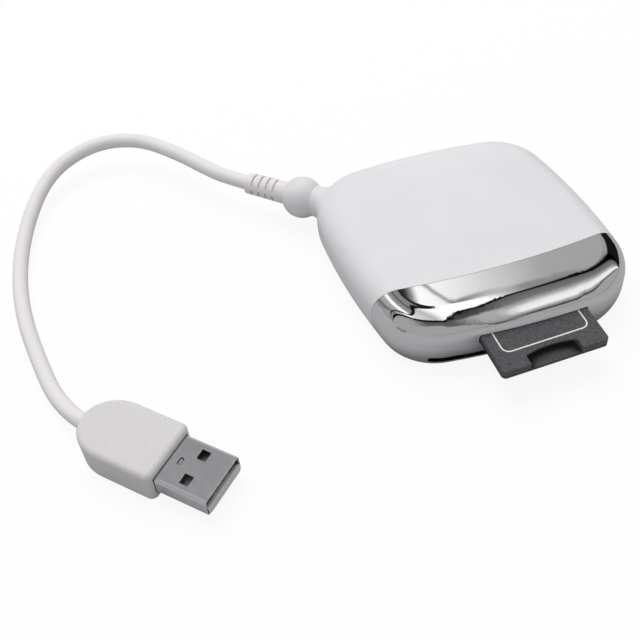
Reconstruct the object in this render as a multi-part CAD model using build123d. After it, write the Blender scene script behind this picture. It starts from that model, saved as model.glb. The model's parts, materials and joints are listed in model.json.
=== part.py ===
from build123d import *
import os
from math import atan, cos, degrees, pi, radians, sin, sqrt, tan

# Memory card reader with a short plug cord and a card adapter resting in its upper slot.
# Millimetres. Z is up from the table, X runs along the front, Y runs to the back.
# The origin is the middle of the housing's flat underside.

# Housing plan: a bulged rhombus, stretched along the diagonal that carries the cord
across_flats = 56.8
lean_angle = 4.0
side_bulge = 0.75
corner_radius = 13.8

# Housing section: a crowned top with a soft edge, and sides that tuck in below their widest height
body_height = 14.3
crown_radius = 800.0
top_edge_share = 0.41
widest_share = 0.43
tuck_share = 0.92
bottom_edge_radius = 0.8
casing_wall = 1.6
floor_thickness = 1.2
parting_height = 3.2
seam_gap = 0.1
smallest_radius = 0.4

# Joints between the casings and the front bezel
lip_thickness = 0.8
lip_height = 1.2
tongue_length = 2.5
slip_fit = 0.1

# Rear edge of the bright front bezel, in plan
bezel_left_y = -12.7
bezel_middle_y = -16.25
bezel_right_y = -14.9

# Cord exit: ball on the back left corner, with a neck that blends into the housing
cord_axis_height = 7.5
ball_radius = 5.0
ball_standoff = 5.5
neck_radius = 3.7
neck_blend_radius = 2.5

# Flexible sleeve in the ball
sleeve_radius = 2.75
sleeve_end_radius = 2.6
sleeve_fit = 0.1
sleeve_seat = 1.6
sleeve_flange_radius = 3.4
sleeve_flange_thickness = 1.2
sleeve_length = 10.6
sleeve_ring_count = 4
sleeve_ring_pitch = 1.95
sleeve_first_ring = 2.8
sleeve_slot_count = 3
sleeve_slot_angle = 96.0
sleeve_slot_turn = -10.0
sleeve_slot_width = 0.6
sleeve_slot_depth = 0.6

# Cord and its inner wires
cord_diameter = 3.6
cord_fit = 0.1
cord_bend_share = 0.45
jacket_tail = 1.5
wire_colours = ("red", "white", "green", "black")
wire_diameter = 0.9
wire_pitch = 1.8
wire_bundle_pitch = 0.95
wire_bend_radius = 1.2
wire_lead_in = 3.0
wire_rise = 1.8
wire_pads = (-13.0, 12.6)

# Circuit board
board_height = 4.7
board_thickness = 1.0
board_margin = 0.4
board_front_y = -23.6
board_back_y = 15.0

# Screws through the board
screw_places = [(-18.0, 8.5), (19.0, 10.5), (21.5, -10.5)]
screw_radius = 1.0
screw_tip_gap = 0.8
screw_head_radius = 1.75
screw_head_height = 1.2
screw_fit = 0.15
screw_recess = 0.6
boss_wall = 1.3
cross_width = 0.5
cross_depth = 0.6

# Card adapter, resting in the upper slot
card_width = 24.0
card_length = 32.0
card_thickness = 2.1
card_x = 2.5
card_front_y = -39.0
card_corner_radius = 1.0
card_corner_cut = 4.0
card_lower_shell = 0.7
mouth_width = 11.6
mouth_depth = 2.6
mouth_arch = 0.8
inner_card_width = 11.3
inner_card_length = 15.2
inner_card_height = 0.95
pad_count = 9
pad_pitch = 2.5
pad_width = 1.7
pad_length = 4.2
pad_thickness = 0.2
pad_inset = 0.9
spring_count = 8
spring_pitch = 1.1
spring_width = 0.6
spring_length = 5.0
spring_thickness = 0.15

# Write lock slider in the adapter's left edge
lock_length = 4.4
lock_depth = 1.5
lock_travel = 2.6
lock_fit = 0.12
lock_from_end = 6.5
lock_tenon_depth = 0.7
lock_tenon_height = 0.6
lock_skin = 0.3

# Upper card socket
socket_base = 0.8
socket_rail = 1.6
socket_fit = 0.2
socket_mouth_y = -23.2
socket_rear_wall = 2.2
socket_rear_gap = 0.3
socket_headroom = 0.25
shield_thickness = 0.25
finger_length = 8.0
finger_width = 2.6
finger_slit = 0.7
contact_window = 5.6
contact_width = 0.9
contact_thickness = 0.25
contact_tail = 0.8
contact_touch = 0.04
contact_tip_length = 1.2
contact_tip_lift = 0.1

# Lower card slot and its socket, for a thinner and narrower card
lower_card_width = 20.0
lower_card_thickness = 1.6
lower_card_x = -9.8
lower_card_depth = 18.0
lower_mouth_y = -19.1
lower_contact_count = 10
lower_contact_pitch = 1.8
lower_contact_foot = 0.5
lower_contact_knee_share = 0.6
lower_contact_tip_share = 0.85

# Slots in the bezel
slot_side_gap = 0.25
slot_height_gap = 0.2
slot_end_radius = 0.5

# Parts on the board
chip_side = 7.0
chip_thickness = 1.0
chip_place = (7.0, 6.0)
crystal_length = 11.2
crystal_width = 4.6
crystal_height = 3.4
crystal_rim = 0.35
crystal_x = -6.5
crystal_gap = 3.05
capacitor_size = (1.6, 0.8, 0.8)
capacitor_places = [(0.9, 7.5), (0.9, 4.5), (13.2, 7.5), (13.2, 4.5), (4.6, 11.6), (9.4, 11.6)]

# Plug at the far end of the cord
plug_place = (-77.3, -31.4)
plug_turn = -47.9
plug_axis_height = 4.0
plug_shell_width = 12.0
plug_shell_height = 4.5
plug_shell_wall = 0.3
plug_shell_shown = 12.0
plug_shell_held = 6.6
plug_shell_corner = 0.8
latch_hole_length = 2.1
latch_hole_width = 2.4
latch_hole_from_grip = 4.8
latch_hole_spacing = 6.2
crimp_width = 1.8
crimp_length = 1.0
crimp_from_grip = 2.4
crimp_depth = 0.2
tongue_thickness = 1.95
tongue_proud = 0.25
plug_contact_places = (-3.5, -1.0, 1.0, 3.5)
plug_contact_width = 1.0
plug_contact_length = 4.0
plug_contact_thickness = 0.2
plug_contact_setback = 1.0
grip_width = 14.7
grip_straight = 13.0
grip_end = 8.5
grip_edge_radius = 1.3
grip_base_radius = 0.7
grip_corner_radius = 1.6
grip_cord_depth = 5.0
grip_cord_fit = 0.3

# Points of the free cord between the sleeve and the plug, as it lies on the table
cord_route = [
    (-44.8, 44.8, 7.5),
    (-48.4, 50.2, 7.5),
    (-52.8, 57.6, 7.5),
    (-59.6, 66.7, 7.4),
    (-65.2, 70.5, 7.2),
    (-71.4, 72.2, 6.9),
    (-77.5, 71.5, 6.4),
    (-83.4, 68.8, 5.7),
    (-88.0, 64.6, 4.8),
    (-92.6, 57.2, 3.7),
    (-97.0, 46.2, 2.5),
    (-99.6, 33.9, 1.8),
    (-100.1, 21.0, 1.8),
    (-98.8, 8.0, 1.8),
    (-97.2, -3.0, 2.2),
    (-94.6, -10.4, 3.3),
]

# Heights and places that follow from the sizes above
front_reach = across_flats
top_edge_radius = top_edge_share * body_height
widest_height = widest_share * body_height
tuck_radius = tuck_share * corner_radius
screw_head_seat = screw_recess + screw_head_height
pilot_top = body_height - 2 * casing_wall
board_top = board_height + board_thickness
card_bottom = board_top + socket_base
card_top = card_bottom + card_thickness
card_back_y = card_front_y + card_length
inner_inset = casing_wall + slip_fit + lip_thickness
cord_radius = cord_diameter / 2
lower_channel = lower_card_thickness + 2 * slot_height_gap
lower_channel_bottom = floor_thickness + shield_thickness


def plan_direction(angle):
    """Unit vector in plan at an angle from the X axis."""
    return Vector(cos(radians(angle)), sin(radians(angle)), 0)


def side_angle(index):
    """Outward angle of a housing side: 0 front, 1 right, 2 back, 3 left."""
    lean = -lean_angle if index % 2 == 0 else lean_angle
    return 90 * (index - 1) + lean


def corner_centre(index):
    """Centre of the corner arc between one side and the side before it."""
    before = plan_direction(side_angle(index - 1))
    after = plan_direction(side_angle(index))
    half = across_flats / 2 - corner_radius
    return (before + after) * (half / (1 + before.dot(after)))


def outline(inset):
    """Housing outline in plan, moved inwards by an inset: four bulged sides and four corners."""
    radius = corner_radius - inset
    arcs = []
    for side in range(4):
        first = corner_centre(side)
        last = corner_centre(side + 1)
        swing = degrees(2 * atan(2 * side_bulge / (last - first).length))
        angle = side_angle(side)
        start = first + plan_direction(angle - swing) * radius
        middle = (first + last) / 2 + plan_direction(angle) * (side_bulge + radius)
        end = last + plan_direction(angle + swing) * radius
        arcs.append(ThreePointArc(start, middle, end))
        next_angle = side_angle(side + 1)
        corner_middle = last + plan_direction((angle + next_angle) / 2) * radius
        corner_end = last + plan_direction(next_angle - swing) * radius
        arcs.append(ThreePointArc(end, corner_middle, corner_end))
    return make_face(arcs)


def slab(bottom, top):
    """Wide flat block between two heights."""
    size = 2 * front_reach
    return Pos(0, 0, (bottom + top) / 2) * Box(size, size, top - bottom)


def housing_form(inset, bottom):
    """Closed housing form at an inset, crowned on top and tucked in below, cut flat at a bottom height."""
    foot = widest_height - tuck_radius + inset
    column = Pos(0, 0, foot) * extrude(outline(inset), body_height - foot)
    crown = Pos(0, 0, body_height - crown_radius) * Sphere(crown_radius - inset)
    form = column & crown
    top_edges = form.faces().sort_by(Axis.Z)[-1].edges()
    form = fillet(top_edges, max(top_edge_radius - inset, smallest_radius))
    foot_edges = form.faces().sort_by(Axis.Z)[0].edges()
    return fillet(foot_edges, tuck_radius - inset) & slab(bottom, body_height + 1)


def inset_at(inset, height):
    """Inset of a housing form's outline at a height, where its sides tuck in."""
    below = max(widest_height - height, 0)
    return tuck_radius - sqrt((tuck_radius - inset) ** 2 - below**2)


def outer_form():
    """Outside of the whole housing, with its lower edge rounded."""
    form = housing_form(0, 0)
    bottom_edges = form.faces().sort_by(Axis.Z)[0].edges()
    return fillet(bottom_edges, bottom_edge_radius)


def front_region(offset):
    """Everything ahead of the bezel's rear edge, with that edge moved back by an offset."""
    left = (-front_reach, bezel_left_y + offset)
    middle = (0, bezel_middle_y + offset)
    right = (front_reach, bezel_right_y + offset)
    near_left = (-across_flats / 2, bezel_left_y + offset)
    near_right = (across_flats / 2, bezel_right_y + offset)
    edges = [
        Line(left, near_left),
        ThreePointArc(near_left, middle, near_right),
        Line(near_right, right),
        Line(right, (front_reach, -front_reach)),
        Line((front_reach, -front_reach), (-front_reach, -front_reach)),
        Line((-front_reach, -front_reach), left),
    ]
    return Pos(0, 0, -1) * extrude(make_face(edges), body_height + 2)


def box_between(x, y, z):
    """Box from three pairs of lowest and highest coordinates."""
    centre = Pos((x[0] + x[1]) / 2, (y[0] + y[1]) / 2, (z[0] + z[1]) / 2)
    return centre * Box(x[1] - x[0], y[1] - y[0], z[1] - z[0])


def screw_column(place, bottom, top, radius):
    """Upright cylinder at a screw's place."""
    return Pos(place[0], place[1], (bottom + top) / 2) * Cylinder(radius, top - bottom)


# Cord axis along the stretched diagonal
cord_outward = plan_direction(135)
corner_distance = corner_centre(3).length + corner_radius
ball_distance = corner_distance + ball_standoff
neck_end = ball_distance - sqrt(ball_radius**2 - neck_radius**2)
ball_end = ball_distance + sqrt(ball_radius**2 - sleeve_radius**2)
sleeve_end = ball_end + sleeve_length
sleeve_flange_face = corner_distance - casing_wall - sleeve_seat
sleeve_flange_back = sleeve_flange_face - sleeve_flange_thickness
jacket_end = sleeve_flange_back - jacket_tail
cord_plane = Plane(origin=(0, 0, cord_axis_height), x_dir=cord_outward, z_dir=plan_direction(45))
cord_axis = Axis((0, 0, cord_axis_height), cord_outward)


def turned(profile):
    """Solid of revolution about the cord's axis, from a profile of distance and radius."""
    return revolve(cord_plane * profile, cord_axis)


def cord_rod(start, end, radius):
    """Plain rod on the cord's axis between two distances from the housing's middle."""
    return turned(Pos((start + end) / 2, radius / 2) * Rectangle(end - start, radius))


def ball_and_neck():
    """Ball on a neck that starts inside the housing."""
    neck_start = corner_distance - corner_radius / 2
    ball_tip = ball_distance + ball_radius
    edges = [
        Line((neck_start, 0), (neck_start, neck_radius)),
        Line((neck_start, neck_radius), (neck_end, neck_radius)),
        ThreePointArc((neck_end, neck_radius), (ball_distance, ball_radius), (ball_tip, 0)),
        Line((ball_tip, 0), (neck_start, 0)),
    ]
    return turned(make_face(edges))


def necked_form():
    """Outside of the whole housing, with the ball's neck blended into its corner."""
    housing = outer_form()
    stem = ball_and_neck()
    form = housing + stem
    return fillet(new_edges(housing, stem, combined=form), neck_blend_radius)


def base_room():
    """Room under the parting plane, short of the ball."""
    return Pos(0, 0, parting_height) * extrude(Circle(neck_end), -body_height)


def upper_casing():
    """White top shell with the ball, and the bosses that take the screws."""
    shell = necked_form() - base_room() - front_region(seam_gap)
    shell -= housing_form(casing_wall, floor_thickness)
    ceiling = housing_form(casing_wall / 2, parting_height)
    for place in screw_places:
        shell += screw_column(place, board_top, body_height, screw_radius + boss_wall) & ceiling
    for place in screw_places:
        shell -= screw_column(place, board_top - 1, pilot_top, screw_radius)
    bore_start = sleeve_flange_face - lip_thickness
    return shell - cord_rod(bore_start, ball_distance + ball_radius, sleeve_radius + sleeve_fit)


def lower_casing():
    """White base tray with a locating lip and the posts that carry the board."""
    base = (necked_form() & base_room()) - front_region(seam_gap)
    base -= housing_form(inner_inset, floor_thickness)
    lip_inset = inset_at(casing_wall + slip_fit, parting_height)
    lip_plan = outline(lip_inset) - outline(lip_inset + lip_thickness)
    lip = Pos(0, 0, parting_height) * extrude(lip_plan, lip_height)
    base += lip - front_region(tongue_length + 2 * slip_fit)
    for place in screw_places:
        base += screw_column(place, floor_thickness / 2, board_height, screw_head_radius + boss_wall)
    for place in screw_places:
        base -= screw_column(place, -1, screw_head_seat, screw_head_radius + screw_fit)
        base -= screw_column(place, 0, board_height + 1, screw_radius + screw_fit)
    return base


def slot_cutter(centre_x, width, bottom, height):
    """Rounded slot that runs straight in from the front."""
    opening = Pos(centre_x, bottom + height / 2) * RectangleRounded(width, height, slot_end_radius)
    return extrude(Plane.XZ * opening, front_reach)


def front_bezel():
    """Bright one-piece front with both card slots and a tongue into the upper casing."""
    cavity = housing_form(inner_inset, floor_thickness)
    shell = (outer_form() & front_region(0)) - cavity
    tongue = housing_form(casing_wall + slip_fit, floor_thickness) - cavity
    tongue &= front_region(tongue_length)
    tongue &= slab(parting_height + slip_fit, body_height)
    bezel = shell + (tongue - front_region(-slip_fit))
    upper_width = card_width + 2 * slot_side_gap
    upper_height = card_thickness + 2 * slot_height_gap
    bezel -= slot_cutter(card_x, upper_width, card_bottom - slot_height_gap, upper_height)
    lower_width = lower_card_width + 2 * slot_side_gap
    return bezel - slot_cutter(lower_card_x, lower_width, lower_channel_bottom, lower_channel)


def circuit_board():
    """Board cut to the housing's outline, with holes for the screws."""
    blank = Pos(0, 0, board_height) * extrude(outline(inner_inset + board_margin), board_thickness)
    board = blank & box_between((-front_reach, front_reach), (board_front_y, board_back_y), (0, body_height))
    for place in screw_places:
        board -= screw_column(place, 0, body_height, screw_radius + screw_fit)
    return board


def casing_screws():
    """Round-headed screws with a cross recess, driven up from the underside."""
    screws = []
    for place in screw_places:
        screw = screw_column(place, screw_recess, screw_head_seat, screw_head_radius)
        screw = fillet(screw.edges().sort_by(Axis.Z)[0], smallest_radius)
        screw += screw_column(place, screw_head_seat, pilot_top - screw_tip_gap, screw_radius)
        cross_height = screw_recess + cross_depth / 2
        for size in [(cross_width, screw_head_radius), (screw_head_radius, cross_width)]:
            screw -= Pos(place[0], place[1], cross_height) * Box(size[0], size[1], cross_depth)
        screws.append(screw)
    return screws


def controller_chip():
    """Flat square controller package."""
    chip = Pos(*chip_place, board_top + chip_thickness / 2) * Box(chip_side, chip_side, chip_thickness)
    return chamfer(chip.edges() | Axis.Z, smallest_radius / 2)


def crystal():
    """Low metal can with a rim at its foot."""
    rim = extrude(SlotOverall(crystal_length + 2 * crystal_rim, crystal_width + 2 * crystal_rim), crystal_rim)
    can = extrude(SlotOverall(crystal_length, crystal_width), crystal_height)
    can = fillet(can.faces().sort_by(Axis.Z)[-1].edges(), smallest_radius)
    front_y = socket_rear_y + contact_tail + crystal_gap
    return Pos(crystal_x, front_y + crystal_rim + crystal_width / 2, board_top) * (rim + can)


def board_capacitors():
    """Small block capacitors."""
    height = board_top + capacitor_size[2] / 2
    return [Pos(*place, height) * Box(*capacitor_size) for place in capacitor_places]


def contact_strip(points, x, width, thickness):
    """Thin bent strip along points of Y and Z, centred on an X place."""
    profile = trace(Polyline(*points), thickness)
    return extrude(Plane.YZ.offset(x - width / 2) * profile, width)


# Upper socket, round the adapter
socket_inner = card_width / 2 + socket_fit
socket_outer = socket_inner + socket_rail
socket_top = card_top + socket_headroom
socket_rear_y = card_back_y + socket_rear_gap + socket_rear_wall


def upper_socket_frame():
    """Plastic frame on the board that guides the adapter and stops it."""
    sides = (card_x - socket_outer, card_x + socket_outer)
    frame = box_between(sides, (socket_mouth_y, socket_rear_y), (board_top, socket_top))
    channel = (card_x - socket_inner, card_x + socket_inner)
    card_room = (socket_mouth_y - 1, card_back_y + socket_rear_gap)
    frame -= box_between(channel, card_room, (card_bottom, socket_top + 1))
    window = (card_back_y - contact_window, socket_rear_y + 1)
    return frame - box_between(channel, window, (board_top - 1, card_bottom - contact_touch))


def upper_socket_shield():
    """Folded steel cover over the upper socket, with two sprung fingers cut from its roof."""
    reach = socket_outer + shield_thickness
    outside = (card_x - reach, card_x + reach)
    inside = (card_x - socket_outer, card_x + socket_outer)
    roof = socket_top + shield_thickness
    cover = box_between(outside, (socket_mouth_y, socket_rear_y), (board_top, roof))
    cover -= box_between(inside, (socket_mouth_y - 1, socket_rear_y + 1), (0, socket_top))
    window = Rectangle(finger_width + 2 * finger_slit, finger_length)
    finger = Pos(0, finger_slit) * Rectangle(finger_width, finger_length)
    middle = (socket_mouth_y + socket_rear_y) / 2
    for side in (-1, 1):
        finger_x = card_x + side * card_width / 4
        cover -= extrude(Pos(finger_x, middle) * (window - finger), body_height)
    return cover


def upper_socket_contacts():
    """Spring strips that reach from the board to the adapter's pads."""
    low = board_top + contact_thickness / 2
    high = card_bottom - contact_touch - contact_thickness
    pad_y = card_back_y - pad_inset - pad_length / 2
    points = [
        (socket_rear_y + contact_tail, low),
        (card_back_y, low),
        (pad_y, high),
        (pad_y - contact_tip_length, low + contact_tip_lift),
    ]
    first = card_x - pad_pitch * (pad_count - 1) / 2
    return [
        contact_strip(points, first + pad_pitch * index, contact_width, contact_thickness)
        for index in range(pad_count)
    ]


# Lower socket, hung under the board
lower_inner = lower_card_width / 2 + socket_fit
lower_outer = lower_inner + socket_rail
lower_roof = lower_channel_bottom + lower_channel
lower_stop_y = lower_mouth_y + lower_card_depth
lower_rear_y = lower_stop_y + socket_rear_wall


def lower_socket_frame():
    """Plastic frame under the board for the lower slot."""
    sides = (lower_card_x - lower_outer, lower_card_x + lower_outer)
    frame = box_between(sides, (lower_mouth_y, lower_rear_y), (lower_channel_bottom, board_height))
    channel = (lower_card_x - lower_inner, lower_card_x + lower_inner)
    frame -= box_between(channel, (lower_mouth_y - 1, lower_stop_y), (0, lower_roof))
    window = (lower_stop_y - contact_window, lower_rear_y + 1)
    return frame - box_between(channel, window, (lower_roof, board_height + 1))


def lower_socket_shield():
    """Folded steel tray round the lower socket, standing on the base."""
    reach = lower_outer + shield_thickness
    outside = (lower_card_x - reach, lower_card_x + reach)
    inside = (lower_card_x - lower_outer, lower_card_x + lower_outer)
    tray = box_between(outside, (lower_mouth_y, lower_rear_y), (floor_thickness, board_height))
    room = (lower_mouth_y - 1, lower_rear_y + 1)
    return tray - box_between(inside, room, (lower_channel_bottom, board_height + 1))


def lower_socket_contacts():
    """Spring strips of the lower socket, soldered under the board."""
    high = board_height - contact_thickness / 2
    low = lower_roof - lower_channel / 4
    points = [
        (lower_rear_y + contact_tail, high),
        (lower_stop_y - lower_contact_foot, high),
        (lower_stop_y - contact_window * lower_contact_knee_share, low),
        (lower_stop_y - contact_window * lower_contact_tip_share, lower_roof),
    ]
    first = lower_card_x - lower_contact_pitch * (lower_contact_count - 1) / 2
    return [
        contact_strip(points, first + lower_contact_pitch * index, contact_width, contact_thickness)
        for index in range(lower_contact_count)
    ]


# Adapter, drawn about the middle of its front edge
card_place = Pos(card_x, card_front_y, card_bottom)


def card_plan():
    """Adapter outline with one cut corner at its contact end."""
    half = card_width / 2
    sketch = make_face(
        Polyline(
            (-half, 0),
            (half, 0),
            (half, card_length - card_corner_cut),
            (half - card_corner_cut, card_length),
            (-half, card_length),
            close=True,
        )
    )
    return fillet(sketch.vertices(), card_corner_radius)


def lock_pocket(bottom, top):
    """Room in the adapter's left edge for the slider over its whole travel, with its guide groove."""
    back = card_length - lock_from_end + lock_fit
    front = card_length - lock_from_end - lock_length - lock_travel - lock_fit
    edge = -card_width / 2
    pocket = box_between((edge - 1, edge + lock_depth + lock_fit), (front, back), (bottom, top))
    middle = (bottom + top) / 2
    half = lock_tenon_height / 2 + lock_fit
    groove = (edge, edge + lock_depth + lock_tenon_depth + lock_fit)
    return pocket + box_between(groove, (front, back), (middle - half, middle + half))


def lock_room():
    """Lowest and highest coordinate of the slider's pocket inside the adapter."""
    return lock_skin, card_thickness - lock_skin


def adapter_lower_shell():
    """Thin lower half with shallow seats for the pads."""
    shell = extrude(card_plan(), card_lower_shell)
    first = -pad_pitch * (pad_count - 1) / 2
    back = card_length - pad_inset
    for index in range(pad_count):
        x = first + pad_pitch * index
        seat = (x - pad_width / 2, x + pad_width / 2)
        shell -= box_between(seat, (back - pad_length, back), (-1, pad_thickness))
    return card_place * (shell - lock_pocket(*lock_room()))


def adapter_upper_shell():
    """Thick upper half with the mouth for a smaller card."""
    shell = Pos(0, 0, card_lower_shell) * extrude(card_plan(), card_thickness - card_lower_shell)
    shell = fillet(shell.faces().sort_by(Axis.Z)[-1].edges(), smallest_radius / 2)
    half = mouth_width / 2
    mouth = make_face(
        [
            Line((-half, -1), (half, -1)),
            Line((half, -1), (half, mouth_depth)),
            ThreePointArc((half, mouth_depth), (0, mouth_depth + mouth_arch), (-half, mouth_depth)),
            Line((-half, mouth_depth), (-half, -1)),
        ]
    )
    shell -= Pos(0, 0, card_lower_shell) * extrude(mouth, card_thickness)
    inner_half = inner_card_width / 2
    room = (card_lower_shell, card_lower_shell + inner_card_height)
    shell -= box_between((-inner_half, inner_half), (-1, inner_card_length), room)
    return card_place * (shell - lock_pocket(*lock_room()))


def adapter_pads():
    """Contact pads flush with the adapter's underside."""
    first = -pad_pitch * (pad_count - 1) / 2
    y = card_length - pad_inset - pad_length / 2
    z = pad_thickness / 2
    blank = Box(pad_width, pad_length, pad_thickness)
    return [card_place * Pos(first + pad_pitch * index, y, z) * blank for index in range(pad_count)]


def adapter_springs():
    """Contact springs for the smaller card, on the floor of the adapter's mouth."""
    first = -spring_pitch * (spring_count - 1) / 2
    y = inner_card_length - spring_length / 2
    z = card_lower_shell + spring_thickness / 2
    blank = Box(spring_width, spring_length, spring_thickness)
    return [card_place * Pos(first + spring_pitch * index, y, z) * blank for index in range(spring_count)]


def adapter_lock_slider():
    """Write lock slider with a tenon in the adapter's groove."""
    bottom, top = lock_room()
    edge = -card_width / 2
    back = card_length - lock_from_end
    front = back - lock_length
    block = box_between((edge, edge + lock_depth), (front, back), (bottom + lock_fit, top - lock_fit))
    middle = (bottom + top) / 2
    half = lock_tenon_height / 2
    tenon = (edge, edge + lock_depth + lock_tenon_depth)
    return card_place * (block + box_between(tenon, (front, back), (middle - half, middle + half)))


def sleeve_slots():
    """Rings of shallow slots that let the sleeve bend, each slot over part of a turn."""
    slots = []
    for ring in range(sleeve_ring_count):
        place = sleeve_first_ring + sleeve_ring_pitch * ring
        radius = sleeve_radius + (sleeve_end_radius - sleeve_radius) * place / sleeve_length
        section = Pos(ball_end + place, radius) * Rectangle(sleeve_slot_width, 2 * sleeve_slot_depth)
        slot = revolve(cord_plane * section, cord_axis, sleeve_slot_angle)
        for index in range(sleeve_slot_count):
            middle = sleeve_slot_turn + 360 * index / sleeve_slot_count
            slots.append(slot.rotate(cord_axis, middle - sleeve_slot_angle / 2))
    return slots


def strain_relief():
    """Tapered slotted sleeve with a flange inside the housing."""
    flange = Pos(sleeve_flange_back, 0) * Rectangle(
        sleeve_flange_thickness, sleeve_flange_radius, align=(Align.MIN, Align.MIN)
    )
    shank = make_face(
        Polyline(
            (sleeve_flange_back, 0),
            (sleeve_end, 0),
            (sleeve_end, sleeve_end_radius),
            (ball_end, sleeve_radius),
            (sleeve_flange_back, sleeve_radius),
            close=True,
        )
    )
    sleeve = turned(flange + shank)
    for slot in sleeve_slots():
        sleeve -= slot
    return sleeve - cord_rod(sleeve_flange_back - 1, sleeve_end + 1, cord_radius + cord_fit)


def cord_held_end():
    """Stretch of the cord's jacket that the sleeve holds."""
    return cord_rod(jacket_end, sleeve_end, cord_radius)


# Plug, drawn along its own X axis with the grip's front face at zero
plug_location = Location((plug_place[0], plug_place[1], plug_axis_height), (0, 0, plug_turn))
grip_length = grip_straight + grip_end
grip_thickness = 2 * plug_axis_height


def plug_shell():
    """Rectangular metal sleeve with latch holes and a crimp mark."""
    length = plug_shell_shown + plug_shell_held
    outside = RectangleRounded(plug_shell_width, plug_shell_height, plug_shell_corner)
    inside = RectangleRounded(
        plug_shell_width - 2 * plug_shell_wall,
        plug_shell_height - 2 * plug_shell_wall,
        max(plug_shell_corner - plug_shell_wall, smallest_radius / 2),
    )
    tube = Pos(-plug_shell_held, 0, 0) * extrude(Plane.YZ * (outside - inside), length)
    hole_x = latch_hole_from_grip + latch_hole_length / 2
    for side in (-1, 1):
        hole = Box(latch_hole_length, latch_hole_width, 2 * plug_shell_height)
        tube -= Pos(hole_x, side * latch_hole_spacing / 2, 0) * hole
    mark = extrude(Rot(0, 0, 90) * SlotOverall(crimp_width, crimp_length), plug_shell_wall)
    tube -= Pos(crimp_from_grip, 0, plug_shell_height / 2 - crimp_depth) * mark
    return plug_location * tube


def plug_tongue():
    """Plastic tongue in the lower half of the plug, just proud of the metal."""
    width = plug_shell_width - 2 * plug_shell_wall - 2 * slip_fit
    bottom = -plug_shell_height / 2 + plug_shell_wall
    length = (-plug_shell_held, plug_shell_shown + tongue_proud)
    tongue = box_between(length, (-width / 2, width / 2), (bottom, bottom + tongue_thickness))
    front_edges = tongue.edges().filter_by(Axis.Y).group_by(Axis.X)[-1]
    tongue = fillet(front_edges.sort_by(Axis.Z)[-1], smallest_radius)
    lower_edges = tongue.edges().filter_by(Axis.X).group_by(Axis.Z)[0]
    return plug_location * chamfer(lower_edges, plug_shell_corner - plug_shell_wall)


def plug_contacts():
    """Four contact strips on the tongue."""
    height = -plug_shell_height / 2 + plug_shell_wall + tongue_thickness + plug_contact_thickness / 2
    middle = plug_shell_shown - plug_contact_setback - plug_contact_length / 2
    blank = Box(plug_contact_length, plug_contact_width, plug_contact_thickness)
    return [plug_location * Pos(middle, y, height) * blank for y in plug_contact_places]


def plug_grip():
    """Moulded grip with a rounded rear that the cord enters."""
    straight = Pos(-grip_straight / 2, 0) * Rectangle(grip_straight, grip_width)
    straight = fillet(straight.vertices().group_by(Axis.X)[-1], grip_corner_radius)
    plan = straight + Pos(-grip_straight, 0) * Ellipse(grip_end, grip_width / 2)
    grip = Pos(0, 0, -grip_thickness / 2) * extrude(plan, grip_thickness)
    grip = fillet(grip.faces().sort_by(Axis.Z)[-1].edges(), grip_edge_radius)
    grip = fillet(grip.faces().sort_by(Axis.Z)[0].edges(), grip_base_radius)
    pocket_width = plug_shell_width + 2 * slip_fit
    pocket_height = plug_shell_height + 2 * slip_fit
    grip -= box_between(
        (-plug_shell_held, 1),
        (-pocket_width / 2, pocket_width / 2),
        (-pocket_height / 2, pocket_height / 2),
    )
    bore = Rot(0, 90, 0) * Cylinder(cord_radius + grip_cord_fit, 2 * grip_cord_depth)
    grip -= Pos(-grip_length, 0, 0) * bore
    return plug_location * grip


def cord_points():
    """Whole route of the free cord, from the sleeve's end to the bottom of the grip's bore."""
    start = cord_outward * sleeve_end + Vector(0, 0, cord_axis_height)
    rear = (plug_location * Pos(-grip_length, 0, 0)).position
    end = (plug_location * Pos(-grip_length + grip_cord_depth, 0, 0)).position
    return [start] + [Vector(*point) for point in cord_route] + [rear, end]


def bend_radii(points):
    """Largest arc at each corner that its two straight runs leave room for."""
    radii = []
    for before, corner, after in zip(points, points[1:], points[2:]):
        turn = (corner - before).get_angle(after - corner)
        shorter = min((corner - before).length, (after - corner).length)
        radii.append(cord_bend_share * shorter / tan(radians(turn / 2)))
    return radii


def tube(path, radius):
    """Round rod along a path."""
    start = Plane(origin=path @ 0, z_dir=path % 0)
    return sweep(start * Circle(radius), path=path)


def free_cord():
    """Cord that lies on the table between the sleeve and the plug."""
    points = cord_points()
    radii = bend_radii(points)
    print("cord bend radii", [round(radius, 1) for radius in radii])
    path = FilletPolyline(*points, radius=radii)
    cord = tube(path, cord_radius)
    fill = cord.volume / (pi * cord_radius**2 * path.length)
    print("cord length", round(path.length, 1), "volume ratio", round(fill, 4))
    return cord


def inner_wire(index):
    """One wire from the cord's jacket to its pad on the board."""
    inward = cord_outward * -1
    middle = (len(wire_colours) - 1) / 2
    across = plan_direction(45) * ((index - middle) * wire_bundle_pitch)
    start = cord_outward * jacket_end + Vector(0, 0, cord_axis_height) + across
    pad = Vector(wire_pads[0] + wire_pitch * index, wire_pads[1], board_top)
    above = pad + Vector(0, 0, wire_rise)
    path = FilletPolyline(start, start + inward * wire_lead_in, above, pad, radius=wire_bend_radius)
    return tube(path, wire_diameter / 2)


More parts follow.
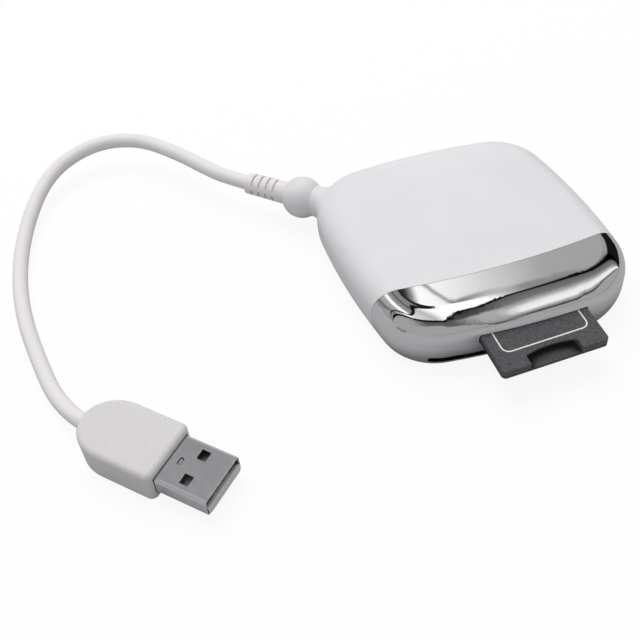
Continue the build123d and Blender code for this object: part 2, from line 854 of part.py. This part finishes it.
nodes = {
    "upper_casing": upper_casing,
    "lower_casing": lower_casing,
    "front_bezel": front_bezel,
    "circuit_board": circuit_board,
    "casing_screws": casing_screws,
    "controller_chip": controller_chip,
    "crystal": crystal,
    "board_capacitors": board_capacitors,
    "upper_socket_frame": upper_socket_frame,
    "upper_socket_shield": upper_socket_shield,
    "upper_socket_contacts": upper_socket_contacts,
    "lower_socket_frame": lower_socket_frame,
    "lower_socket_shield": lower_socket_shield,
    "lower_socket_contacts": lower_socket_contacts,
    "adapter_upper_shell": adapter_upper_shell,
    "adapter_lower_shell": adapter_lower_shell,
    "adapter_pads": adapter_pads,
    "adapter_springs": adapter_springs,
    "adapter_lock_slider": adapter_lock_slider,
    "strain_relief": strain_relief,
    "cord_held_end": cord_held_end,
    "cord": free_cord,
    "plug_shell": plug_shell,
    "plug_tongue": plug_tongue,
    "plug_contacts": plug_contacts,
    "plug_grip": plug_grip,
}

os.makedirs("parts", exist_ok=True)
for name, make in nodes.items():
    made = make()
    piece = Compound(children=list(made)) if isinstance(made, list) else made
    export_step(piece, f"parts/{name}.step")
for index, colour in enumerate(wire_colours):
    export_step(inner_wire(index), f"parts/wire_{colour}.step")
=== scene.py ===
import json
from math import cos, pi, radians, sin

import bmesh
import bpy
from mathutils import Matrix, Vector


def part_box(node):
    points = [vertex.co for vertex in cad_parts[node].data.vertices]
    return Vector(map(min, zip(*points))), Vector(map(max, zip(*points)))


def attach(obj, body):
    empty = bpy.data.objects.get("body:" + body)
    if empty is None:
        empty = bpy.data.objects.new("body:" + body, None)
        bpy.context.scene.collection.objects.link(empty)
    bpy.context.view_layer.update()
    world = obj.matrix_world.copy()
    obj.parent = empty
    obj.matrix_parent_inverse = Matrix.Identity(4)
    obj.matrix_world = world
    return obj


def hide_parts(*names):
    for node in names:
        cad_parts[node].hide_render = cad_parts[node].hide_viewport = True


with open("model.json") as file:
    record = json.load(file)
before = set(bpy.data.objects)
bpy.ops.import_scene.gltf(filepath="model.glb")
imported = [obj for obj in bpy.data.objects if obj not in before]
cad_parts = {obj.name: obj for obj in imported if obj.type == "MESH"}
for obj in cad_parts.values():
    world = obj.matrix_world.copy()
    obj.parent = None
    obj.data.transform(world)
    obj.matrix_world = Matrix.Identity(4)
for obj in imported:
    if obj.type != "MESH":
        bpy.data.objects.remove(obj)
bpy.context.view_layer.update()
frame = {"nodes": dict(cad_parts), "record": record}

# Lengths are metres, in the frame of the CAD model. Z is up, X runs along the front, Y to the back.
MM = 0.001

# Camera, from the photograph's perspective
camera_place = Vector((-75.37, -149.25, 167.09)) * MM
camera_azimuth = -14.78
camera_elevation = 47.94
camera_roll = -6.02
camera_lens = 56.14
camera_sensor = 36.0
camera_near = 0.01
camera_far = 10

# Cord, along the CAD route
cord_diameter = 3.6 * MM
cord_section_steps = 8
cord_route_steps = 12
cord_exit = Vector((-39.85, 39.85, 7.5)) * MM
cord_route = [
    (-44.8, 44.8, 7.5),
    (-48.4, 50.2, 7.5),
    (-52.8, 57.6, 7.5),
    (-59.6, 66.7, 7.4),
    (-65.2, 70.5, 7.2),
    (-71.4, 72.2, 6.9),
    (-77.5, 71.5, 6.4),
    (-83.4, 68.8, 5.7),
    (-88.0, 64.6, 4.8),
    (-92.6, 57.2, 3.7),
    (-97.0, 46.2, 2.5),
    (-99.6, 33.9, 1.8),
    (-100.1, 21.0, 1.8),
    (-98.8, 8.0, 1.8),
    (-97.2, -3.0, 2.2),
    (-94.6, -10.4, 3.3),
]
plug_place = Vector((-77.3, -31.4, 4.0)) * MM
plug_turn = -47.9
grip_length = 21.5 * MM
grip_cord_depth = 5.0 * MM

# Printed border line on the card adapter
border_half_width = 9.85 * MM
border_shift = 0.2 * MM
border_from_front = 4.5 * MM
border_length = 15.0 * MM
border_corner = 1.8 * MM
border_line = 0.32 * MM
border_sunk = 0.02 * MM
border_proud = 0.02 * MM
corner_steps = 8

# Painted shade in recesses, by how open they are
painted_shade_tone = (0.1, 0.1, 0.1, 1)
painted_shade_range = (0.72, 0.95)
tongue_painted_shade_range = (0.35, 0.52)

# Painted highlight along edges, by how far the rounded edge leaves the face
painted_highlight_gain = 1.2
painted_highlight_range = (0.8, 0.99)

# Finish of plastic and metal: broad patches, as noise scale per metre and detail, then fine marks
plastic_patches = (60, 3)
plastic_grain_detail = 2
plastic_gloss_spread = 0.05
plastic_relief = 0.5
metal_patches = (80, 2)
metal_mark_detail = 4
metal_polish_spread = 0.2
metal_relief = 0.4

# Colour sockets of a Mix node, by number because several share a name
MIX_FIRST = 6
MIX_SECOND = 7
MIX_RESULT = 2

# Stage
floor_size = 3.0
floor_white = (0.95, 0.95, 0.95, 1)
floor_grey = (0.47, 0.47, 0.48, 1)
floor_glow = 0.9
sky_level = 0.5
lamp_place = Vector((-0.06, 0.43, 0.86))
lamp_size = 0.8
lamp_power = 5.8

# Studio that polished metal mirrors, by sideways direction x and by turn up from the back, in half turns.
# A wall closes it on the left and on the right. Between them a near and a far panel meet at a narrow gap.
# A thin dark rim runs along the panels. The far panel ends at a dark line, then come cloths and a strip.
panel_gap = [(-1.0, 0.30), (-0.6, 0.46), (-0.45, 0.50), (-0.13, 0.40), (0.2, 0.35), (0.26, 0.30), (1.0, 0.30)]
gap_half = 0.012
gap_level = [(0.15, 0.02), (0.2, 1.0)]
rim_corner = 0.272
rim_turn = 0.297
rim_rise = 0.42
rim_half = 0.0009
rim_level = [(0.29, 0.2), (0.35, 1.0)]
left_wall = [(-1.0, 0.39), (-0.9, 0.39), (-0.85, 0.15), (-0.8, 0.42), (-0.65, 0.5)]
right_wall = [(0.66, 0.38), (0.7, 0.01), (1.0, 0.01)]
near_panel = [
    (-0.6, 1.25), (-0.52, 1.25), (-0.45, 0.35), (-0.3, 0.3), (-0.2, 0.1), (-0.12, 0.3), (0.08, 0.25),
    (0.11, 0.02), (0.224, 0.02), (0.234, 1.25), (0.32, 0.83), (0.4, 0.46),
]
far_panel = [
    (-0.6, 1.25), (-0.5, 0.85), (-0.36, 0.8), (-0.11, 0.6), (0.08, 1.25), (0.3, 1.25), (0.34, 0.6),
    (0.37, 0.3),
]
panel_end = [
    (-1.0, 0.4), (-0.6, 0.56), (-0.48, 0.61), (-0.09, 0.67), (0.04, 0.68), (0.12, 0.61), (0.18, 0.53),
    (0.24, 0.5), (0.32, 0.405), (0.42, 0.36), (1.0, 0.36),
]
cloth_end = [
    (-1.0, 0.75), (-0.6, 0.76), (-0.1, 0.79), (0.09, 0.9), (0.24, 1.1), (0.4, 1.08), (0.45, 0.95),
    (0.68, 0.82), (1.0, 0.7),
]
left_cloth = [(0.0, 0.02), (0.15, 0.1), (0.9, 0.14), (1.0, 0.42)]
middle_cloth = [
    (0.0, 0.03), (0.25, 0.1), (0.35, 0.5), (0.75, 0.45), (0.9, 0.35), (0.94, 0.06), (0.97, 0.06), (1.0, 0.42),
]
right_cloth = [
    (0.0, 0.03), (0.06, 0.14), (0.26, 0.22), (0.4, 0.5), (0.52, 1.0), (0.68, 1.1), (0.76, 0.5),
    (0.82, 0.35), (0.86, 0.08), (0.9, 0.08), (0.94, 0.42), (1.0, 0.42),
]
cloth_far_left = 0.42
left_start = [(-0.75, 0), (-0.45, 1)]
middle_start = [(0.05, 0), (0.14, 1)]
right_start = [(0.19, 0), (0.27, 1)]
end_half = [(0.05, 0.022), (0.15, 0.012), (0.3, 0.014), (0.45, 0.028)]
line_level = 0.02
# Dark lines fade out over these places, in line widths from the middle of the line
line_fade = [(0.4, 0), (0.8, 1)]


def link(name, data):
    """New object in the scene from its data."""
    made = bpy.data.objects.new(name, data)
    bpy.context.scene.collection.objects.link(made)
    return made


def add_camera():
    """Camera at the photograph's viewing angle."""
    azimuth = radians(camera_azimuth)
    elevation = radians(camera_elevation)
    roll = radians(camera_roll)
    forward = Vector((-sin(azimuth) * cos(elevation), cos(azimuth) * cos(elevation), -sin(elevation)))
    level_right = forward.cross(Vector((0, 0, 1))).normalized()
    level_up = level_right.cross(forward)
    right = level_right * cos(roll) + level_up * sin(roll)
    up = level_up * cos(roll) - level_right * sin(roll)
    data = bpy.data.cameras.new("camera")
    data.lens = camera_lens
    data.sensor_width = camera_sensor
    data.clip_start = camera_near
    data.clip_end = camera_far
    camera = link("camera", data)
    axes = Matrix((right, up, -forward)).transposed().to_4x4()
    camera.matrix_world = Matrix.Translation(camera_place) @ axes
    bpy.context.scene.camera = camera


def add_cord(paint):
    """Free cord from the sleeve to the plug, one smooth curve."""
    along = Vector((cos(radians(plug_turn)), sin(radians(plug_turn)), 0))
    rear = plug_place - along * grip_length
    end = rear + along * grip_cord_depth
    points = [cord_exit] + [Vector(point) * MM for point in cord_route] + [rear, end]
    data = bpy.data.curves.new("free_cord", "CURVE")
    data.dimensions = "3D"
    data.bevel_depth = cord_diameter / 2
    data.bevel_resolution = cord_section_steps
    data.resolution_u = cord_route_steps
    data.use_fill_caps = True
    spline = data.splines.new("NURBS")
    spline.points.add(len(points) - 1)
    for place, point in zip(spline.points, points):
        place.co = (*point, 1)
    spline.order_u = 3
    spline.use_endpoint_u = True
    spline.use_smooth = True
    data.materials.append(paint)
    cord = link("free_cord", data)
    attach(cord, "reader")
    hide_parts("cord")


def rounded_loop(half_width, front, back, radius):
    """Points of a rounded rectangle in plan, about the card's middle line."""
    centres = [
        (half_width - radius, front + radius, -90),
        (half_width - radius, back - radius, 0),
        (radius - half_width, back - radius, 90),
        (radius - half_width, front + radius, 180),
    ]
    points = []
    for x, y, start in centres:
        for step in range(corner_steps + 1):
            angle = radians(start + 90 * step / corner_steps)
            points.append((x + radius * cos(angle), y + radius * sin(angle)))
    return points


def add_border(paint):
    """Thin printed border on the adapter's top face."""
    low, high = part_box("adapter_upper_shell")
    middle_x = (low.x + high.x) / 2 + border_shift
    front = low.y + border_from_front
    back = front + border_length
    outer = rounded_loop(border_half_width, front, back, border_corner)
    inner = rounded_loop(
        border_half_width - border_line, front + border_line, back - border_line, border_corner - border_line
    )
    form = bmesh.new()
    heights = (high.z - border_sunk, high.z + border_proud)
    rings = [
        [form.verts.new((middle_x + x, y, z)) for x, y in loop] for loop, z in
        ((outer, heights[0]), (outer, heights[1]), (inner, heights[1]), (inner, heights[0]))
    ]
    count = len(outer)
    for ring, following in zip(rings, rings[1:] + rings[:1]):
        for index in range(count):
            after = (index + 1) % count
            form.faces.new((ring[index], ring[after], following[after], following[index]))
    bmesh.ops.recalc_face_normals(form, faces=form.faces)
    mesh = bpy.data.meshes.new("adapter_border")
    form.to_mesh(mesh)
    form.free()
    mesh.materials.append(paint)
    border = link("adapter_border", mesh)
    border.visible_glossy = False
    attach(border, "reader")


def new_material(name):
    """Empty node material with its Principled shader."""
    paint = bpy.data.materials.new(name)
    paint.use_nodes = True
    return paint, paint.node_tree.nodes, paint.node_tree.links, paint.node_tree.nodes["Principled BSDF"]


def noise_field(nodes, links, scale, detail, stretch=(1, 1, 1)):
    """Noise over the object's own coordinates, per metre."""
    place = nodes.new("ShaderNodeTexCoord")
    mapping = nodes.new("ShaderNodeMapping")
    mapping.inputs["Scale"].default_value = stretch
    noise = nodes.new("ShaderNodeTexNoise")
    noise.inputs["Scale"].default_value = scale
    noise.inputs["Detail"].default_value = detail
    links.new(place.outputs["Object"], mapping.inputs["Vector"])
    links.new(mapping.outputs["Vector"], noise.inputs["Vector"])
    return noise.outputs["Fac"]


def ramp_between(nodes, links, source, low, high, start=0.3, end=0.7):
    """Colour ramp from one colour to another over a range of the source."""
    ramp = nodes.new("ShaderNodeValToRGB")
    ramp.color_ramp.elements[0].position = start
    ramp.color_ramp.elements[1].position = end
    ramp.color_ramp.elements[0].color = low
    ramp.color_ramp.elements[1].color = high
    links.new(source, ramp.inputs["Fac"])
    return ramp.outputs["Color"]


def shade(colour, factor):
    """Colour made darker or lighter by a factor, with full alpha."""
    return (*[min(channel * factor, 1) for channel in colour], 1)


def times(nodes, links, first, second):
    """Product of two colours."""
    mix = nodes.new("ShaderNodeMix")
    mix.data_type = "RGBA"
    mix.blend_type = "MULTIPLY"
    mix.inputs["Factor"].default_value = 1
    links.new(first, mix.inputs[MIX_FIRST])
    links.new(second, mix.inputs[MIX_SECOND])
    return mix.outputs[MIX_RESULT]


def with_painted_shade(nodes, links, tint, depth, span):
    """Colour with painted shade: darker in recesses of about a given depth, by ambient occlusion."""
    open_sky = nodes.new("ShaderNodeAmbientOcclusion")
    open_sky.inputs["Distance"].default_value = depth
    # Painted shade: the colour darkens towards the shade tone where little of the sky is open
    shade_ramp = ramp_between(nodes, links, open_sky.outputs["AO"], painted_shade_tone, (1, 1, 1, 1), *span)
    return times(nodes, links, tint, shade_ramp)


def with_edge_highlight(nodes, links, tint, edge_normal):
    """Colour with a painted highlight: lighter along edges, where the rounded normal leaves the face's own.
    """
    face = nodes.new("ShaderNodeNewGeometry")
    along = nodes.new("ShaderNodeVectorMath")
    along.operation = "DOT_PRODUCT"
    links.new(face.outputs["Normal"], along.inputs[0])
    links.new(edge_normal, along.inputs[1])
    bright = (painted_highlight_gain,) * 3 + (1,)
    # Painted highlight: the colour is lifted by the gain near edges
    edge_highlight = ramp_between(nodes, links, along.outputs["Value"], bright, (1, 1, 1, 1), *painted_highlight_range)
    return times(nodes, links, tint, edge_highlight)


def surface_finish(nodes, links, shader, broad, rough_span, fine, strength, depth):
    """Roughness that changes over broad patches, and fine relief. Gives the relief's node."""
    gloss = nodes.new("ShaderNodeMapRange")
    gloss.inputs["To Min"].default_value = rough_span[0]
    gloss.inputs["To Max"].default_value = rough_span[1]
    links.new(broad, gloss.inputs["Value"])
    links.new(gloss.outputs["Result"], shader.inputs["Roughness"])
    relief = nodes.new("ShaderNodeBump")
    relief.inputs["Strength"].default_value = strength
    relief.inputs["Distance"].default_value = depth
    links.new(fine, relief.inputs["Height"])
    links.new(relief.outputs["Normal"], shader.inputs["Normal"])
    return relief


def moulded(
    name, colour, roughness, grain, depth,
    mottle=0.02, speckle=0.0, specular=0.5, recess=0.0, span=painted_shade_range,
):
    """Moulded plastic: faint mottling, uneven gloss and a fine grain, with painted shade in its recesses when
    a depth is given.
    """
    paint, nodes, links, shader = new_material(name)
    broad = noise_field(nodes, links, *plastic_patches)
    tint = ramp_between(nodes, links, broad, shade(colour, 1 - mottle), shade(colour, 1 + mottle))
    fine = noise_field(nodes, links, grain, plastic_grain_detail)
    if speckle:
        grains = ramp_between(nodes, links, fine, (1 - speckle,) * 3 + (1,), (1 + speckle,) * 3 + (1,))
        tint = times(nodes, links, tint, grains)
    # Painted shade in recesses, from ambient occlusion
    if recess:
        tint = with_painted_shade(nodes, links, tint, recess, span)
    links.new(tint, shader.inputs["Base Color"])
    rough_span = (roughness - plastic_gloss_spread, roughness + plastic_gloss_spread)
    surface_finish(nodes, links, shader, broad, rough_span, fine, plastic_relief, depth)
    shader.inputs["Specular IOR Level"].default_value = specular
    return paint


def metal(name, colour, roughness, scale, depth, stretch=(1, 1, 1), spread=0.04, recess=0.0, edge=0.0):
    """Metal: slight colour change, uneven polish and fine marks, with painted shade in recesses and a painted
    highlight along edges.
    """
    paint, nodes, links, shader = new_material(name)
    broad = noise_field(nodes, links, *metal_patches)
    marks = noise_field(nodes, links, scale, metal_mark_detail, stretch)
    tint = ramp_between(nodes, links, marks, shade(colour, 1 - spread), shade(colour, 1 + spread))
    # Painted shade in recesses, from ambient occlusion
    if recess:
        tint = with_painted_shade(nodes, links, tint, recess, painted_shade_range)
    # Painted highlight along edges from the rounded normal; the same normal also rounds the edges' relief
    if edge:
        rounded = nodes.new("ShaderNodeBevel")
        rounded.inputs["Radius"].default_value = edge
        tint = with_edge_highlight(nodes, links, tint, rounded.outputs["Normal"])
    links.new(tint, shader.inputs["Base Color"])
    rough_span = (roughness * (1 - metal_polish_spread), roughness * (1 + metal_polish_spread))
    relief = surface_finish(nodes, links, shader, broad, rough_span, marks, metal_relief, depth)
    if edge:
        links.new(rounded.outputs["Normal"], relief.inputs["Normal"])
    shader.inputs["Metallic"].default_value = 1
    return paint


def make_materials():
    """One material for each slot of the record, and the border's ink."""
    return {
        "white_plastic": moulded("white_plastic", (0.78, 0.765, 0.79), 0.33, 3000, 4e-6),
        "bright_chrome": metal("bright_chrome", (0.80, 0.80, 0.81), 0.03, 150, 1e-6, spread=0.01),
        "adapter_plastic": moulded("adapter_plastic", (0.083, 0.081, 0.088), 0.5, 3200, 1e-5, speckle=0.45),
        # Copy of the adapter plastic with painted shade that darkens the floor of the card's mouth
        "adapter_floor_painted_shade": moulded(
            "adapter_floor_painted_shade", (0.083, 0.081, 0.088), 0.5, 3200, 1e-5, speckle=0.45, specular=0.1, recess=6e-3
        ),
        "socket_plastic": moulded("socket_plastic", (0.03, 0.03, 0.032), 0.6, 3000, 8e-6, mottle=0.1),
        "sheet_steel": metal("sheet_steel", (0.58, 0.58, 0.60), 0.32, 900, 3e-6, (1, 0.08, 1)),
        # Painted shade darkens the holes and groove, and a painted highlight lightens the edges
        "plug_steel": metal(
            "plug_steel", (0.80, 0.80, 0.83), 0.36, 900, 2e-6, (1, 0.3, 1), recess=4e-4, edge=2.5e-4
        ),
        "contact_gold": metal("contact_gold", (0.80, 0.62, 0.28), 0.25, 900, 2e-6),
        "board_green": moulded("board_green", (0.02, 0.16, 0.07), 0.35, 1200, 1e-5, mottle=0.2),
        "chip_black": moulded("chip_black", (0.02, 0.02, 0.02), 0.6, 5000, 8e-6, mottle=0.1),
        "capacitor_ceramic": moulded("capacitor_ceramic", (0.52, 0.40, 0.27), 0.5, 4000, 5e-6, mottle=0.08),
        "cord_white": moulded("cord_white", (0.84, 0.81, 0.825), 0.45, 2500, 6e-6),
        "grip_white": moulded("grip_white", (0.70, 0.68, 0.685), 0.45, 1600, 1.5e-5, speckle=0.03),
        # Painted shade darkens the tongue where the shell closes over it
        "tongue_plastic": moulded(
            "tongue_plastic", (0.70, 0.70, 0.71), 0.5, 3000, 5e-6, recess=3.8e-3, span=tongue_painted_shade_range
        ),
        "lock_plastic": moulded("lock_plastic", (0.72, 0.72, 0.72), 0.5, 3000, 5e-6),
        "wire_red": moulded("wire_red", (0.62, 0.03, 0.03), 0.45, 2500, 5e-6, mottle=0.06),
        "wire_white": moulded("wire_white", (0.82, 0.82, 0.80), 0.45, 2500, 5e-6),
        "wire_green": moulded("wire_green", (0.03, 0.35, 0.08), 0.45, 2500, 5e-6, mottle=0.06),
        "wire_black": moulded("wire_black", (0.02, 0.02, 0.02), 0.45, 2500, 5e-6, mottle=0.1),
        "ink": moulded("white_ink", (0.80, 0.80, 0.80), 0.5, 5000, 2e-6, mottle=0.04),
    }


def paint_nodes(materials):
    """Each CAD node takes the material of its record slot, with painted shade on the floor of the card's
    mouth.
    """
    for row in frame["record"]["subparts"]:
        mesh = frame["nodes"][row["node"]].data
        mesh.materials.clear()
        # The lower shell takes the copy of the adapter plastic with painted shade in the card's mouth
        slot = "adapter_floor_painted_shade" if row["node"] == "adapter_lower_shell" else row["material_slot"]
        mesh.materials.append(materials[slot])
    for name in ("adapter_upper_shell", "adapter_lower_shell"):
        frame["nodes"][name].visible_glossy = False


def add_floor():
    """Plain pale floor: white to the camera, with the object's shadow kept, and grey to other rays."""
    half = floor_size / 2
    mesh = bpy.data.meshes.new("floor")
    corners = [(-half, -half, 0), (half, -half, 0), (half, half, 0), (-half, half, 0)]
    mesh.from_pydata(corners, [], [(0, 1, 2, 3)])
    floor = link("floor", mesh)
    paint, nodes, links, shader = new_material("floor_paper")
    path = nodes.new("ShaderNodeLightPath")
    tint = nodes.new("ShaderNodeMix")
    tint.data_type = "RGBA"
    tint.inputs[MIX_FIRST].default_value = floor_grey
    tint.inputs[MIX_SECOND].default_value = floor_white
    links.new(path.outputs["Is Camera Ray"], tint.inputs["Factor"])
    links.new(tint.outputs[MIX_RESULT], shader.inputs["Base Color"])
    shader.inputs["Roughness"].default_value = 1.0
    shader.inputs["Specular IOR Level"].default_value = 0.0
    glow = nodes.new("ShaderNodeEmission")
    share = nodes.new("ShaderNodeMath")
    share.operation = "MULTIPLY"
    share.inputs[1].default_value = floor_glow
    links.new(path.outputs["Is Camera Ray"], share.inputs[0])
    mix = nodes.new("ShaderNodeMixShader")
    links.new(share.outputs["Value"], mix.inputs["Fac"])
    links.new(shader.outputs["BSDF"], mix.inputs[1])
    links.new(glow.outputs["Emission"], mix.inputs[2])
    links.new(mix.outputs["Shader"], nodes["Material Output"].inputs["Surface"])
    mesh.materials.append(paint)


def level_ramp(nodes, links, source, stops, curved=False):
    """Grey levels over a source between 0 and 1, in straight steps or along a curve through the stops."""
    ramp = nodes.new("ShaderNodeValToRGB")
    ramp.color_ramp.interpolation = "CARDINAL" if curved else "LINEAR"
    for position, _ in stops[1:-1]:
        ramp.color_ramp.elements.new(position)
    for element, (position, level) in zip(ramp.color_ramp.elements, stops):
        element.position = position
        element.color = (level, level, level, 1)
    links.new(source, ramp.inputs["Fac"])
    return ramp.outputs["Color"]


def worked(nodes, links, operation, first, second):
    """Result of a sum on two sockets or numbers."""
    node = nodes.new("ShaderNodeMath")
    node.operation = operation
    for socket, value in zip(node.inputs, (first, second)):
        if isinstance(value, (int, float)):
            socket.default_value = value
        else:
            links.new(value, socket)
    return node.outputs["Value"]


def mirrored_studio(nodes, links):
    """Levels of the studio that polished metal mirrors, by direction."""
    direction = nodes.new("ShaderNodeTexCoord")
    split = nodes.new("ShaderNodeSeparateXYZ")
    links.new(direction.outputs["Generated"], split.inputs["Vector"])

    def sums(operation, first, second):
        return worked(nodes, links, operation, first, second)

    def between(low, high, share):
        return sums("ADD", low, sums("MULTIPLY", share, sums("SUBTRACT", high, low)))

    def over_side(stops, curved=False):
        return level_ramp(nodes, links, side, [((x + 1) / 2, level) for x, level in stops], curved)

    def off_line(distance, half):
        away = sums("DIVIDE", sums("ABSOLUTE", distance, 0), half)
        return level_ramp(nodes, links, sums("MULTIPLY", away, 0.5), line_fade)

    side = sums("DIVIDE", sums("ADD", split.outputs["X"], 1), 2)
    turn = sums("DIVIDE", sums("ARCTAN2", split.outputs["Z"], split.outputs["Y"]), pi)
    gap = over_side(panel_gap, curved=True)
    near = over_side(left_wall + near_panel + right_wall)
    far = over_side(left_wall + far_panel + right_wall)
    panel = between(near, far, sums("GREATER_THAN", turn, gap))
    gap_line = off_line(sums("SUBTRACT", turn, gap), gap_half)
    panel = sums("MULTIPLY", panel, sums("MAXIMUM", gap_line, over_side(gap_level)))
    slant = sums("MULTIPLY", sums("SUBTRACT", split.outputs["X"], rim_corner), rim_rise)
    inside = sums("ADD", sums("SUBTRACT", rim_turn, turn), sums("MINIMUM", slant, 0))
    panel = sums("MULTIPLY", panel, sums("MAXIMUM", off_line(inside, rim_half), over_side(rim_level)))
    edge = over_side(panel_end, curved=True)
    past_edge = sums("SUBTRACT", turn, edge)
    reach = sums("DIVIDE", past_edge, sums("SUBTRACT", over_side(cloth_end, curved=True), edge))
    cloth = cloth_far_left
    cloths = ((left_cloth, left_start), (middle_cloth, middle_start), (right_cloth, right_start))
    for stops, places in cloths:
        cloth = between(cloth, level_ramp(nodes, links, reach, stops), over_side(places))
    level = between(panel, cloth, sums("GREATER_THAN", turn, edge))
    return sums("MULTIPLY", level, sums("MAXIMUM", off_line(past_edge, over_side(end_half)), line_level))


def add_world():
    """Even sky for soft light, and a studio of panels for what is polished."""
    world = bpy.data.worlds.new("studio")
    bpy.context.scene.world = world
    world.use_nodes = True
    nodes, links = world.node_tree.nodes, world.node_tree.links
    even = nodes["Background"]
    even.inputs["Color"].default_value = (1, 1, 1, 1)
    even.inputs["Strength"].default_value = sky_level
    panels = nodes.new("ShaderNodeBackground")
    links.new(mirrored_studio(nodes, links), panels.inputs["Color"])
    white = nodes.new("ShaderNodeBackground")
    white.inputs["Color"].default_value = (1, 1, 1, 1)
    path = nodes.new("ShaderNodeLightPath")
    polished = nodes.new("ShaderNodeMixShader")
    links.new(path.outputs["Is Glossy Ray"], polished.inputs["Fac"])
    links.new(even.outputs["Background"], polished.inputs[1])
    links.new(panels.outputs["Background"], polished.inputs[2])
    seen = nodes.new("ShaderNodeMixShader")
    links.new(path.outputs["Is Camera Ray"], seen.inputs["Fac"])
    links.new(polished.outputs["Shader"], seen.inputs[1])
    links.new(white.outputs["Background"], seen.inputs[2])
    links.new(seen.outputs["Shader"], nodes["World Output"].inputs["Surface"])


def add_lamp():
    """Large soft lamp from the back left."""
    data = bpy.data.lights.new("softbox", "AREA")
    data.shape = "DISK"
    data.size = lamp_size
    data.energy = lamp_power
    lamp = link("softbox", data)
    lamp.location = lamp_place
    lamp.rotation_euler = (-lamp_place).to_track_quat("-Z", "Y").to_euler()
    lamp.visible_glossy = False


materials = make_materials()
add_camera()
add_cord(materials["cord_white"])
paint_nodes(materials)
add_border(materials["ink"])
add_floor()
add_world()
add_lamp()

bpy.context.scene.view_settings.view_transform = "Standard"
